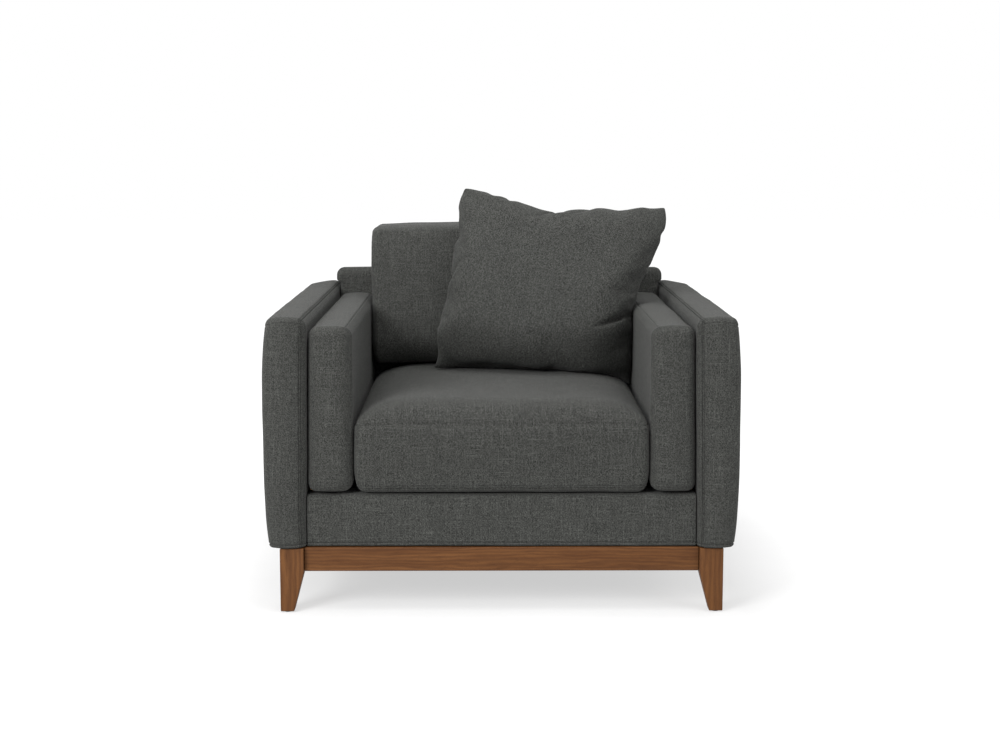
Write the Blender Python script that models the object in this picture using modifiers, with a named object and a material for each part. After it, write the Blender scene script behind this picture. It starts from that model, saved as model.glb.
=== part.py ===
"""Upholstered armchair: wooden base, upholstered frame, loose cushions.

Metres, +Z up. X runs across the seat (the sitter's left arm is at +X), the
front faces -Y, and the origin is on the floor under the middle of the chair.
"""
import math

import bmesh
import bpy
from mathutils import Matrix, Vector

# ---------------------------------------------------------------- dimensions
WIDTH = 0.970            # over the widest part of the outer arms
DEPTH = 0.905            # front of the arms to the rear of the back
HALF_W = WIDTH / 2
HALF_D = DEPTH / 2
GAP = 0.0003             # clearance between touching faces

GLIDE_H = 0.0020          # foot glide height
GLIDE_R = 0.009
BODY_Z = 0.1345          # underside of the upholstered body
LEG_OUT = 0.4557         # outer face of a leg
LEG_W = 0.0487           # leg section at the top
LEG_FOOT = 0.0277        # leg section at the foot
LEG_FRONT = 0.4455       # outer end face of a leg
RAIL_Z = 0.0845          # lower edge of the base rails
RAIL_T = 0.025
RAIL_IN = 0.018          # how far a base rail sits behind the arms' front

ARM_TOP = 0.612
ARM_INNER_LOW = 0.402    # inner face of an arm beside the seat box
COVER_T = 0.004          # cloth with its thin wadding
PAD_X = 0.3045           # inner face of an arm pad
PAD_Z = 0.2510
PAD_TOP = 0.5886
PAD_FRONT = 0.012
SEAT_RAIL_TOP = 0.2440   # top of the upholstered front rail
BACK_TOP = 0.653
BACK_HALF = 0.3925       # half width of the back between the arms
BACK_EAR = 0.4000        # half width of the back above the arms
RECLINE = 0.1125         # how far the back leans for each metre of height
BACK_FACE = 0.745        # from the arms' front to the back's face at PAD_Z

SEAT_X = 0.3035
SEAT_LO = 0.2468
SEAT_HI = 0.4365
SEAT_FRONT = 0.015
SEAT_REAR = 0.738
BACKC_LO = 0.4385
BACKC_HI = 0.772
BACKC_T = 0.1995
BACKC_X = 0.3035

# corners of the throw pillow's middle sheet, where it leans
PILLOW = {
    "TL": (-0.079, 0.130, 0.850), "TR": (0.379, 0.046, 0.809),
    "BL": (-0.151, 0.0445, 0.446), "BR": (0.291, -0.035, 0.411),
}
PILLOW_HALF_T = 0.070
PILLOW_EDGE = 0.009


def deep(d):
    """A depth from the arms' front plane, as a Y coordinate."""
    return d - HALF_D


def back_face(z):
    """The Y of the back's leaning face at height z."""
    return deep(BACK_FACE) + (z - PAD_Z) * RECLINE


# ---------------------------------------------------------------- scene, materials
for ob in list(bpy.data.objects):
    bpy.data.objects.remove(ob, do_unlink=True)


def new_collection(name):
    col = bpy.data.collections.new(name)
    bpy.context.scene.collection.children.link(col)
    return col


PARTS = new_collection("upholstered_armchair")
CUTTERS = new_collection("cutters")

LOOKS = {
    "cloth": ((0.066, 0.068, 0.066), 0.92, 0.0),
    "cushion_cloth": ((0.070, 0.072, 0.070), 0.92, 0.0),
    "wood": ((0.190, 0.074, 0.029), 0.45, 0.0),
    "hardwood": ((0.50, 0.34, 0.19), 0.70, 0.0),
    "plywood": ((0.60, 0.44, 0.27), 0.70, 0.0),
    "foam": ((0.82, 0.78, 0.62), 0.95, 0.0),
    "steel": ((0.42, 0.42, 0.43), 0.35, 1.0),
    "nylon": ((0.05, 0.05, 0.05), 0.45, 0.0),
    "lining": ((0.02, 0.02, 0.022), 0.95, 0.0),
    "zip": ((0.03, 0.03, 0.032), 0.55, 0.0),
}


def material(name, look):
    colour, rough, metal = LOOKS[look]
    m = bpy.data.materials.new(name + "_" + look)
    m.use_nodes = True
    b = m.node_tree.nodes["Principled BSDF"]
    b.inputs["Base Color"].default_value = (*colour, 1.0)
    b.inputs["Roughness"].default_value = rough
    b.inputs["Metallic"].default_value = metal
    return m


def add_object(name, bm, look, smooth=True):
    me = bpy.data.meshes.new(name)
    bm.normal_update()
    bm.to_mesh(me)
    bm.free()
    if smooth:
        me.shade_smooth()
        me.set_sharp_from_angle(angle=math.radians(40))
    ob = bpy.data.objects.new(name, me)
    PARTS.objects.link(ob)
    me.materials.append(material(name, look))
    return ob


# ---------------------------------------------------------------- shapes
def cut_positions(lo, hi, round_lo, round_hi, r, extra):
    """Where a rounded block is cut along one axis."""
    out = []
    if round_lo:
        out += [lo + 0.586 * r, lo + r]
    if round_hi:
        out += [hi - r, hi - 0.586 * r]
    return sorted(out + [e for e in extra if lo < e < hi])


def rounded_block(lo, hi, r, cuts=((), (), ()), sharp=(), open_side=None, shape=None):
    """A block with rounded edges, from a cube cut along its axes.

    sharp names the sides that stay square (-x, +x, -y, ...), open_side is left
    without faces, and shape moves each point afterwards.
    """
    bm = bmesh.new()
    bmesh.ops.create_cube(bm, size=1.0)
    for v in bm.verts:
        for i in range(3):
            v.co[i] = lo[i] if v.co[i] < 0 else hi[i]
    rounds = []
    for i, a in enumerate("xyz"):
        rl, rh = "-" + a not in sharp, "+" + a not in sharp
        rounds.append((rl, rh))
        for c in cut_positions(lo[i], hi[i], rl, rh, r, cuts[i]):
            n = Vector((0, 0, 0))
            n[i] = 1
            p = Vector((0, 0, 0))
            p[i] = c
            bmesh.ops.bisect_plane(bm, geom=bm.verts[:] + bm.edges[:] + bm.faces[:],
                                   plane_co=p, plane_no=n, dist=1e-7)
    if open_side:
        i = "xyz".index(open_side[1])
        at = lo[i] if open_side[0] == "-" else hi[i]
        gone = [f for f in bm.faces if all(abs(v.co[i] - at) < 1e-6 for v in f.verts)]
        bmesh.ops.delete(bm, geom=gone, context="FACES")
    for v in bm.verts:
        q = Vector(v.co)
        for i in range(3):
            a = lo[i] + (r if rounds[i][0] else 0)
            b = hi[i] - (r if rounds[i][1] else 0)
            q[i] = min(max(q[i], a), b)
        d = Vector(v.co) - q
        if d.length > 1e-9:
            v.co = q + d.normalized() * r
    if shape:
        for v in bm.verts:
            v.co = Vector(shape(*v.co))
    bmesh.ops.recalc_face_normals(bm, faces=bm.faces[:])
    return bm


def flip_to_outside(bm, centre):
    """An open skin has its faces turned away from its own middle."""
    score = sum((f.calc_center_median() - Vector(centre)).dot(f.normal) * f.calc_area()
                for f in bm.faces)
    if score < 0:
        bmesh.ops.reverse_faces(bm, faces=bm.faces[:])
    bm.normal_update()
    return bm


def shell(name, bm, look, t, centre):
    flip_to_outside(bm, centre)
    ob = add_object(name, bm, look)
    m = ob.modifiers.new("thickness", "SOLIDIFY")
    m.thickness = t
    m.offset = -1.0
    m.use_even_offset = True
    return ob


def plain_block(name, lo, hi, look, bevel=0.0015, shape=None):
    """A sawn piece: a cube primitive with its edges just broken."""
    bm = bmesh.new()
    bmesh.ops.create_cube(bm, size=1.0)
    for v in bm.verts:
        for i in range(3):
            v.co[i] = lo[i] if v.co[i] < 0 else hi[i]
    if shape:
        for v in bm.verts:
            v.co = Vector(shape(*v.co))
    ob = add_object(name, bm, look, smooth=False)
    if bevel:
        m = ob.modifiers.new("edges", "BEVEL")
        m.width = bevel
        m.segments = 1
        m.limit_method = "ANGLE"
        m.angle_limit = math.radians(30)
    return ob


def flat_outline(name, points, half, place, look):
    """A flat closed outline, extruded half its thickness each way."""
    cu = bpy.data.curves.new(name + "_outline", "CURVE")
    cu.dimensions = "2D"
    cu.fill_mode = "BOTH"
    cu.extrude = half
    cu.render_resolution_u = 0
    sp = cu.splines.new("POLY")
    sp.points.add(len(points) - 1)
    for p, (a, b) in zip(sp.points, points):
        p.co = (a, b, 0.0, 1.0)
    sp.use_cyclic_u = True
    guide = bpy.data.objects.new(name + "_outline", cu)
    CUTTERS.objects.link(guide)
    guide.matrix_world = place
    bpy.context.view_layer.update()
    dg = bpy.context.evaluated_depsgraph_get()
    me = bpy.data.meshes.new_from_object(guide.evaluated_get(dg))
    bm = bmesh.new()
    bm.from_mesh(me)
    bmesh.ops.remove_doubles(bm, verts=bm.verts[:], dist=1e-6)
    bmesh.ops.recalc_face_normals(bm, faces=bm.faces[:])
    bpy.data.meshes.remove(me)
    ob = add_object(name, bm, look, smooth=False)
    ob.matrix_world = guide.matrix_world.copy()
    bpy.data.objects.remove(guide, do_unlink=True)
    return ob


def cut(ob, cutter, name):
    m = ob.modifiers.new(name, "BOOLEAN")
    m.operation = "DIFFERENCE"
    m.solver = "EXACT"
    m.object = cutter


def box_cutter(name, lo, hi):
    bm = bmesh.new()
    bmesh.ops.create_cube(bm, size=1.0)
    for v in bm.verts:
        for i in range(3):
            v.co[i] = lo[i] if v.co[i] < 0 else hi[i]
    return cutter_object(name, bm)


def cutter_object(name, bm):
    me = bpy.data.meshes.new(name)
    bm.to_mesh(me)
    bm.free()
    ob = bpy.data.objects.new(name, me)
    CUTTERS.objects.link(ob)
    ob.hide_render = True
    ob.display_type = "WIRE"
    return ob


def turned(name, profile, look, place, steps=16):
    """A turned piece: its profile, outer side from top to bottom, and a Screw."""
    me = bpy.data.meshes.new(name)
    me.from_pydata([(r, 0.0, z) for r, z in profile],
                   [(i, i + 1) for i in range(len(profile) - 1)], [])
    ob = bpy.data.objects.new(name, me)
    PARTS.objects.link(ob)
    me.materials.append(material(name, look))
    m = ob.modifiers.new("turn", "SCREW")
    m.axis = "Z"
    m.steps = steps
    m.render_steps = steps
    m.use_merge_vertices = True
    m.merge_threshold = 0.00001
    m.use_smooth_shade = False
    ob.matrix_world = place
    return ob


SIDES = (("left", -1), ("right", 1))


# ---------------------------------------------------------------- wooden base
def leg_shape(sx, sy):
    def f(x, y, z):
        # straight beside the rails, then tapered on its two inner faces
        t = min(max((RAIL_Z - z) / (RAIL_Z - GLIDE_H), 0.0), 1.0)
        k = (LEG_W - (LEG_W - LEG_FOOT) * t) / LEG_W
        return (sx * (LEG_OUT - (LEG_OUT - abs(x)) * k),
                sy * (LEG_FRONT - (LEG_FRONT - abs(y)) * k), z)
    return f


def leg(name, sx, sy):
    xs = sorted((sx * LEG_OUT, sx * (LEG_OUT - LEG_W)))
    ys = sorted((sy * LEG_FRONT, sy * (LEG_FRONT - LEG_W)))
    bm = bmesh.new()
    bmesh.ops.create_cube(bm, size=1.0)
    lo, hi = (xs[0], ys[0], GLIDE_H + GAP), (xs[1], ys[1], BODY_Z - GAP)
    for v in bm.verts:
        for i in range(3):
            v.co[i] = lo[i] if v.co[i] < 0 else hi[i]
    for z in (0.020, RAIL_Z):
        bmesh.ops.bisect_plane(bm, geom=bm.verts[:] + bm.edges[:] + bm.faces[:],
                               plane_co=(0, 0, z), plane_no=(0, 0, 1), dist=1e-7)
    f = leg_shape(sx, sy)
    for v in bm.verts:
        v.co = Vector(f(*v.co))
    bmesh.ops.recalc_face_normals(bm, faces=bm.faces[:])
    ob = add_object(name, bm, "wood", smooth=False)
    m = ob.modifiers.new("edges", "BEVEL")
    m.width = 0.0015
    m.segments = 2
    m.limit_method = "ANGLE"
    m.angle_limit = math.radians(30)
    return ob


LEG_IN_X = LEG_OUT - LEG_W
LEG_IN_Y = LEG_FRONT - LEG_W
RAIL_Y = HALF_D - RAIL_IN - 0.0   # outer face of the front and rear base rails
RAIL_X = 0.444                    # outer face of the side base rails

for fr, sy in (("front", -1), ("rear", 1)):
    ys = sorted((sy * RAIL_Y, sy * (RAIL_Y - RAIL_T)))
    plain_block("base_rail_" + fr, (-LEG_IN_X + GAP, ys[0], RAIL_Z),
                (LEG_IN_X - GAP, ys[1], BODY_Z - GAP), "wood")
for side, sx in SIDES:
    xs = sorted((sx * RAIL_X, sx * (RAIL_X - RAIL_T)))
    plain_block("base_rail_" + side, (xs[0], -LEG_IN_Y + GAP, RAIL_Z),
                (xs[1], LEG_IN_Y - GAP, BODY_Z - GAP), "wood")

BLOCK_LO, BLOCK_HI = 0.0900, 0.1312
BOLT_Z = 0.1100
BOLT_R = 0.004
for fr, sy in (("front", -1), ("rear", 1)):
    for side, sx in SIDES:
        tag = fr + "_" + side
        lg = leg("leg_" + tag, sx, sy)
        # corner block: glued across the corner, notched round the leg
        rx, ry = RAIL_X - RAIL_T - GAP, RAIL_Y - RAIL_T - GAP
        lx, ly = LEG_IN_X - GAP, LEG_IN_Y - GAP
        pts = [(rx - 0.072, ry), (lx, ry), (lx, ly), (rx, ly), (rx, ry - 0.072)]
        pts = [(sx * a, sy * b) for a, b in pts]
        block = flat_outline("corner_block_" + tag, pts, (BLOCK_HI - BLOCK_LO) / 2,
                             Matrix.Translation((0, 0, (BLOCK_LO + BLOCK_HI) / 2)), "hardwood")
        # the hanger bolt runs along the corner's diagonal, through the block, into the leg
        face = Vector((sx * (rx - 0.036), sy * (ry - 0.036), BOLT_Z))
        along = Vector((sx, sy, 0)).normalized()
        turn = along.to_track_quat("Z", "Y").to_matrix().to_4x4()
        bm = bmesh.new()
        bmesh.ops.create_cone(bm, cap_ends=True, segments=16, radius1=BOLT_R + 0.0006,
                              radius2=BOLT_R + 0.0006, depth=0.074)
        cutter = cutter_object("bolt_hole_" + tag, bm)
        cutter.matrix_world = Matrix.Translation(face + along * 0.032) @ turn
        cut(block, cutter, "bolt_hole")
        cut(lg, cutter, "bolt_hole")
        turned("leg_bolt_" + tag,
               [(0.0, 0.066), (BOLT_R - 0.0008, 0.066), (BOLT_R, 0.064), (BOLT_R, -GAP),
                (0.0085, -GAP), (0.0085, -0.0022), (0.0065, -0.0024), (0.0065, -0.0085), (0.0, -0.0085)],
               "steel", Matrix.Translation(face) @ turn, steps=12)
        foot = LEG_FOOT / 2
        turned("foot_glide_" + tag,
               [(0.0, GLIDE_H), (GLIDE_R, GLIDE_H), (GLIDE_R, 0.001), (GLIDE_R - 0.001, 0.0), (0.0, 0.0)],
               "nylon", Matrix.Translation((sx * (LEG_OUT - foot), sy * (LEG_FRONT - foot), 0)), steps=20)

# ---------------------------------------------------------------- seat box
SIDE_RAIL_X = (0.3700, 0.3990)
FRONT_RAIL_Y = (deep(0.029), deep(0.054))
REAR_RAIL_Y = (0.2480, 0.2740)
plain_block("seat_rail_front", (-0.3920, FRONT_RAIL_Y[0], BODY_Z + COVER_T + 0.003),
            (0.3920, FRONT_RAIL_Y[1], 0.2370), "hardwood")
plain_block("seat_rail_rear", (-0.3690, REAR_RAIL_Y[0], BODY_Z + GAP),
            (0.3690, REAR_RAIL_Y[1], 0.2300), "hardwood")
for side, sx in SIDES:
    xs = sorted((sx * SIDE_RAIL_X[0], sx * SIDE_RAIL_X[1]))
    plain_block("seat_rail_" + side, (xs[0], deep(0.076), BODY_Z + GAP),
                (xs[1], 0.2760, PAD_Z - 0.0008), "hardwood")

bm = rounded_block((-0.3988, deep(0.022), BODY_Z + GAP), (0.3988, deep(0.074), SEAT_RAIL_TOP),
                   0.010, cuts=((-0.2, 0.0, 0.2), (), ()), sharp=("+y",), open_side="+y")
shell("front_rail_cover", bm, "cloth", COVER_T, (0, deep(0.06), 0.19))

SPRING_Z = 0.2335
SPRING_R = 0.0019
SPRING_N = 9
for i in range(5):
    x0 = -0.26 + 0.13 * i
    y0, y1 = FRONT_RAIL_Y[1] + 0.002, REAR_RAIL_Y[0] - 0.002
    pts = [(x0, y0)]
    step = (y1 - y0 - 0.02) / SPRING_N
    for k in range(SPRING_N):
        # each loop of the zigzag has two round corners
        s = 1 if k % 2 == 0 else -1
        ya, yb = y0 + 0.010 + k * step, y0 + 0.010 + (k + 1) * step
        pts += [(x0 + s * 0.016, ya), (x0 + s * 0.024, ya + 0.3 * step),
                (x0 + s * 0.024, yb - 0.3 * step), (x0 + s * 0.016, yb)]
    pts.append((x0, y1))
    cu = bpy.data.curves.new("seat_spring_%d" % (i + 1), "CURVE")
    cu.dimensions = "3D"
    cu.bevel_depth = SPRING_R
    cu.bevel_resolution = 1
    cu.use_fill_caps = True
    cu.render_resolution_u = 0
    sp = cu.splines.new("POLY")
    sp.points.add(len(pts) - 1)
    for p, (a, b) in zip(sp.points, pts):
        # the spring bows a little towards the middle of the seat
        bow = 0.0 if y1 == y0 else math.sin(math.pi * (b - y0) / (y1 - y0)) * -0.004
        p.co = (a, b, SPRING_Z + bow, 1.0)
    ob = bpy.data.objects.new("seat_spring_%d" % (i + 1), cu)
    PARTS.objects.link(ob)
    cu.materials.append(material(ob.name, "steel"))

plain_block("deck_pad", (-0.3690, deep(0.075), SPRING_Z + 0.003), (0.3690, 0.2860, SEAT_LO - 0.0006), "lining",
            bevel=0.002)
plain_block("dust_cover", (-0.4062, -0.4085, BLOCK_HI + GAP), (0.4062, 0.4085, BLOCK_HI + 0.0018), "lining",
            bevel=0)

# ---------------------------------------------------------------- outer arms
ARM_MID_IN = 0.3935      # nominal block that is shaped into the arm


def arm_outer(z):
    """The outer face swells out to its widest below half height."""
    t = (z - 0.44) / (0.44 - BODY_Z) if z < 0.44 else (z - 0.44) / 0.30
    return HALF_W - (0.0125 if z < 0.44 else 0.0150) * abs(t) ** 2.4


def arm_inner(z):
    """The inner face leans in over the seat above the seat box."""
    return ARM_INNER_LOW - 0.0183 * max(z - 0.19, 0.0)


def arm_limit(y):
    """The rear outer corner is rounded in plan."""
    r, yc = 0.070, HALF_D - 0.070
    if y <= yc:
        return HALF_W
    return HALF_W - r + math.sqrt(max(r * r - (y - yc) ** 2, 0.0))


def arm_shape(sx):
    def f(x, y, z):
        u = (abs(x) - ARM_MID_IN) / (HALF_W - ARM_MID_IN)
        a = arm_inner(z)
        b = a + (arm_outer(z) - a) * (arm_limit(y) - ARM_MID_IN) / (HALF_W - ARM_MID_IN)
        crown = 0.006 * (1 - (2 * u - 1) ** 2) if z > 0.5 else 0.0
        return (sx * (a + (b - a) * u), y, z + crown * (z - 0.5) / (ARM_TOP - 0.5) - 0.006 * (z > 0.5) * (z - 0.5) / (ARM_TOP - 0.5))
    return f


WINDOW = ((-0.30, 0.26), (0.24, 0.50))
PANEL_X = (0.4300, 0.4480)
for side, sx in SIDES:
    xs = sorted((sx * ARM_MID_IN, sx * HALF_W))
    bm = rounded_block((xs[0], -HALF_D, BODY_Z + GAP), (xs[1], HALF_D, ARM_TOP), 0.014,
                       cuts=((sx * 0.439,), (-0.2, 0.1, 0.3825, 0.402, 0.420),
                             (0.19, 0.25, 0.33, 0.44, 0.52, 0.57)),
                       sharp=("-z",), open_side="-z", shape=arm_shape(sx))
    shell("arm_cover_" + side, bm, "cloth", COVER_T, (sx * 0.44, 0, 0.40))
    # plywood panel with its window
    xp = sorted((sx * PANEL_X[0], sx * PANEL_X[1]))
    panel = plain_block("arm_panel_" + side, (xp[0], -0.4250, BODY_Z + 2 * GAP), (xp[1], 0.3950, 0.5850), "plywood",
                        bevel=0)
    cut(panel, box_cutter("window_" + side, (xp[0] - 0.01, WINDOW[0][0], WINDOW[1][0]),
                          (xp[1] + 0.01, WINDOW[0][1], WINDOW[1][1])), "window")
    # foam wrapped over the panel, in section
    t = COVER_T + 0.0018
    zs = (0.56, 0.50, 0.44, 0.38, 0.31, 0.24, 0.19, 0.140)
    pts = [(arm_inner(z) + t, z) for z in reversed(zs)]
    pts += [(arm_inner(0.59) + t, 0.588), (arm_inner(0.60) + t + 0.012, 0.5985),
            (arm_outer(0.60) - t - 0.012, 0.5985), (arm_outer(0.59) - t, 0.588)]
    pts += [(arm_outer(z) - t, z) for z in zs]
    pts += [(PANEL_X[1] + 0.0005, 0.140), (PANEL_X[1] + 0.0005, 0.5856),
            (PANEL_X[0] - 0.0005, 0.5856), (PANEL_X[0] - 0.0005, 0.140)]
    place = Matrix(((1, 0, 0, 0), (0, 0, -1, 0), (0, 1, 0, 0), (0, 0, 0, 1)))
    y0, y1 = -HALF_D + 0.012, 0.3700
    flat_outline("arm_foam_" + side, [(sx * a, b) for a, b in pts], (y1 - y0) / 2,
                 Matrix.Translation((0, (y0 + y1) / 2, 0)) @ place, "foam")


# ---------------------------------------------------------------- inner arm pads
PAD_OUT = 0.3975
PAD_BOARD = 0.009


def pad_shape(sx, slack=0.0):
    def f(x, y, z):
        u = (abs(x) - PAD_X) / (PAD_OUT - PAD_X)
        out = min(arm_inner(max(z, 0.27)) - 0.0008 - slack, PAD_OUT + 0.01)
        crown = 0.005 * (4 * u * (1 - u)) if z > 0.5 else 0.0
        k = (z - 0.5) / (PAD_TOP - 0.5) if z > 0.5 else 0.0
        # the rear end follows the leaning back
        v = (y - deep(PAD_FRONT)) / (deep(BACK_FACE) - deep(PAD_FRONT))
        yy = deep(PAD_FRONT) + v * (back_face(z) - 0.0010 - deep(PAD_FRONT))
        return (sx * (PAD_X + u * (out - PAD_X)), yy, z + crown * k - 0.005 * k)
    return f


for side, sx in SIDES:
    xs = sorted((sx * PAD_X, sx * PAD_OUT))
    bm = rounded_block((xs[0], deep(PAD_FRONT), PAD_Z), (xs[1], deep(BACK_FACE), PAD_TOP), 0.014,
                       cuts=((sx * 0.350,), (-0.3, -0.1, 0.1, 0.25), (0.30, 0.38, 0.46, 0.53)),
                       sharp=("+x" if sx > 0 else "-x",), open_side=("+x" if sx > 0 else "-x"),
                       shape=pad_shape(sx))
    shell("pad_cover_" + side, bm, "cloth", COVER_T, (sx * 0.37, 0, 0.42))
    d = COVER_T + 0.0012
    # the board closes the pad's outer side, and the foam lies inside it
    xb = sorted((sx * (PAD_OUT - PAD_BOARD), sx * (PAD_OUT - 0.0002)))
    board_shape = pad_shape(sx)
    plain_block("pad_board_" + side, (xb[0], deep(PAD_FRONT) + 0.016, PAD_Z + 0.016),
                (xb[1], deep(BACK_FACE) - 0.016, PAD_TOP - 0.016), "plywood", bevel=0,
                shape=lambda x, y, z, f=board_shape: f(x, y, z))
    xf = sorted((sx * (PAD_X + d), sx * (PAD_OUT - PAD_BOARD - 0.001)))
    bm = rounded_block((xf[0], deep(PAD_FRONT) + d, PAD_Z + d), (xf[1], deep(BACK_FACE) - d, PAD_TOP - d - 0.003), 0.011,
                       cuts=((), (-0.1, 0.1), (0.38, 0.48)), shape=pad_shape(sx))
    add_object("pad_foam_" + side, bm, "foam")

# ---------------------------------------------------------------- back
EAR_Z = (0.6145, 0.622)


def back_shape(x, y, z):
    if z <= EAR_Z[0] + 1e-6:
        half = BACK_HALF
    else:
        half = BACK_HALF + (BACK_EAR - BACK_HALF) * min((z - EAR_Z[0]) / (EAR_Z[1] - EAR_Z[0]), 1.0)
    # the front face leans, the rear face is upright, and the top falls to the rear
    v = (y - deep(BACK_FACE)) / (HALF_D - deep(BACK_FACE))
    f = back_face(z)
    yy = f + v * (HALF_D - f)
    drop = 0.010 * max(v, 0.0) ** 2 * max(z - EAR_Z[1], 0.0) / (BACK_TOP - EAR_Z[1])
    return (x / BACK_HALF * half, yy, z - drop)


bm = rounded_block((-BACK_HALF, deep(BACK_FACE), BODY_Z + GAP), (BACK_HALF, HALF_D, BACK_TOP), 0.016,
                   cuts=((-0.19, 0.0, 0.19), (0.37, ), (0.30, 0.45, EAR_Z[0], EAR_Z[1])),
                   sharp=("-z",), open_side="-z", shape=back_shape)
shell("back_cover", bm, "cloth", COVER_T, (0, 0.37, 0.42))

POST_Y = (0.3620, 0.4050)
for side, sx in SIDES:
    xs = sorted((sx * 0.3250, sx * 0.3700))
    plain_block("back_post_" + side, (xs[0], POST_Y[0], BODY_Z + 2 * GAP), (xs[1], POST_Y[1], 0.5950), "hardwood")
plain_block("back_top_rail", (-0.3700, POST_Y[0], 0.5953), (0.3700, POST_Y[1], 0.6330), "hardwood")
plain_block("back_lower_rail", (-0.3247, POST_Y[0], 0.2400), (0.3247, POST_Y[1] - 0.015, 0.2900), "hardwood")


def back_foam_shape(x, y, z):
    return (x, y + (z - PAD_Z) * RECLINE, z)


plain_block("back_foam", (-0.3700, deep(BACK_FACE) + 0.0065, 0.2200), (0.3700, deep(BACK_FACE) + 0.0255, 0.6280),
            "foam", bevel=0.004, shape=back_foam_shape)


# ---------------------------------------------------------------- seat cushion
def seat_crown(x, y):
    """How much lower the seat's top is towards its edges, 0 to 1."""
    a = min(abs(x) / SEAT_X, 1.0) ** 4
    mid = (deep(SEAT_FRONT) + deep(SEAT_REAR)) / 2
    b = min(abs(y - mid) / ((SEAT_REAR - SEAT_FRONT) / 2), 1.0) ** 4
    return 1 - (1 - a) * (1 - b)


SEAT_DROP = 0.030


def seat_shape(x, y, z):
    k = max(z - (SEAT_LO + SEAT_HI) / 2, 0) / ((SEAT_HI - SEAT_LO) / 2)
    return (x, y, z - SEAT_DROP * k * seat_crown(x, y))


def seat_top(x, y):
    return SEAT_HI - SEAT_DROP * seat_crown(x, y)


def zip_cover(name, lo, hi, r, cuts, hole, look, t, shape, centre):
    """A cushion cover with a zip opening in its rear side.

    hole is (x0, x1, z0, z1) on the rear side, which stays flat there."""
    bm = rounded_block(lo, hi, r, cuts=cuts)
    gone = [f for f in bm.faces
            if all(abs(v.co.y - hi[1]) < 1e-6 and hole[0] - 1e-6 < v.co.x < hole[1] + 1e-6
                   and hole[2] - 1e-6 < v.co.z < hole[3] + 1e-6 for v in f.verts)]
    bmesh.ops.delete(bm, geom=gone, context="FACES")
    for v in bm.verts:
        v.co = Vector(shape(*v.co))
    return shell(name, bm, look, t, centre)


CUSHION_T = 0.003
HOLE = (-0.22, 0.22, 0.300, 0.330)
zip_cover("seat_cushion_cover", (-SEAT_X, deep(SEAT_FRONT), SEAT_LO), (SEAT_X, deep(SEAT_REAR), SEAT_HI), 0.026,
          ((-0.22, -0.1, 0.0, 0.1, 0.22), (-0.35, -0.2, 0.0, 0.15, 0.23), (HOLE[2], HOLE[3])), HOLE,
          "cushion_cloth", CUSHION_T, seat_shape, (0, 0, 0.34))
d = CUSHION_T + 0.0012
bm = rounded_block((-SEAT_X + d, deep(SEAT_FRONT) + d, SEAT_LO + d), (SEAT_X - d, deep(SEAT_REAR) - d, SEAT_HI - d - 0.002),
                   0.023, cuts=((-0.22, -0.1, 0.0, 0.1, 0.22), (-0.35, -0.2, 0.0, 0.15, 0.23), (HOLE[2], HOLE[3])),
                   shape=seat_shape)
add_object("seat_cushion_core", bm, "foam")
plain_block("seat_cushion_zip", (HOLE[0] + 0.0006, deep(SEAT_REAR) - CUSHION_T + 0.0004, HOLE[2] + 0.0006),
            (HOLE[1] - 0.0006, deep(SEAT_REAR) - 0.0003, HOLE[3] - 0.0006), "zip", bevel=0)

# ---------------------------------------------------------------- back cushion
BC_REAR = back_face(BACKC_LO) - 0.0020        # the rear face at the cushion's foot
BC_FRONT = BC_REAR - BACKC_T


def backc_shape(x, y, z):
    """Leans with the back, and its top is a little lower at the ends."""
    k = max(z - 0.70, 0) / (BACKC_HI - 0.70)
    return (x, y + (z - BACKC_LO) * RECLINE, z - 0.010 * k * min(abs(x) / BACKC_X, 1.0) ** 4)


HOLE_B = (-0.22, 0.22, 0.500, 0.530)
zip_cover("back_cushion_cover", (-BACKC_X, BC_FRONT, BACKC_LO), (BACKC_X, BC_REAR, BACKC_HI), 0.034,
          ((-0.22, -0.1, 0.0, 0.1, 0.22), (), (HOLE_B[2], HOLE_B[3], 0.62, 0.70)), HOLE_B,
          "cushion_cloth", CUSHION_T, backc_shape, (0, BC_FRONT + 0.1, 0.6))
bm = rounded_block((-BACKC_X + d, BC_FRONT + d, BACKC_LO + d), (BACKC_X - d, BC_REAR - d, BACKC_HI - d), 0.031,
                   cuts=((-0.22, -0.1, 0.0, 0.1, 0.22), (), (HOLE_B[2], HOLE_B[3], 0.62, 0.70)), shape=backc_shape)
add_object("back_cushion_fill", bm, "foam")
plain_block("back_cushion_zip", (HOLE_B[0] + 0.0006, BC_REAR - CUSHION_T + 0.0005, HOLE_B[2] + 0.0006),
            (HOLE_B[1] - 0.0006, BC_REAR - 0.0004, HOLE_B[3] - 0.0006), "zip", bevel=0, shape=backc_shape)


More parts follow.
